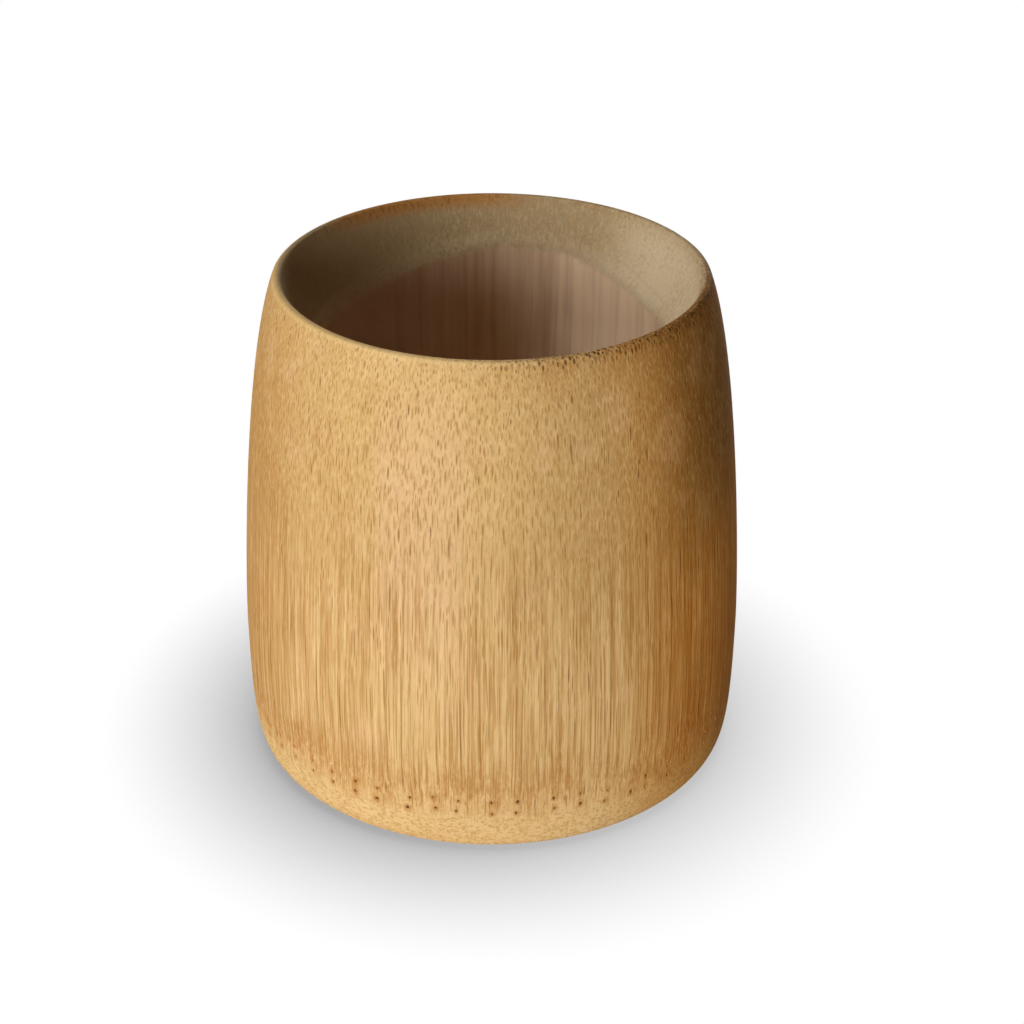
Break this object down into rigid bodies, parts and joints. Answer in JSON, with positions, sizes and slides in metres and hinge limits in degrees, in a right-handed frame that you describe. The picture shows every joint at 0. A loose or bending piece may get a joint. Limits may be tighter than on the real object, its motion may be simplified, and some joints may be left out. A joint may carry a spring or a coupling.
{
  "type": "bamboo cup",
  "caption": "Handleless barrel-shaped cup turned from one natural section of bamboo culm, closed at the bottom by the culm's own node.",
  "frame": {"origin": "centre of the foot, on the surface that the cup stands on", "axes": "+Z along the cup's axis, up through the mouth; the pictured face looks towards -Y"},
  "size_m": [0.078, 0.078, 0.078],
  "materials": {
    "culm_wall": "turned and sanded bamboo with a satin clear finish; dark fibre dots and dashes above, fine lines below",
    "inner_skin": "natural brown inner skin of the culm, satin, with fine upright streaks",
    "node_ring": "turned nodal tissue, satin, speckled and granular, with rows of small dark pores above it",
    "diaphragm": "natural cross wall, matt, finely granular"
  },
  "bodies": {
    "root": {"culm_wall": "culm_wall", "inner_skin": "inner_skin", "node_ring": "node_ring", "diaphragm": "diaphragm"}
  },
  "joints": []
}
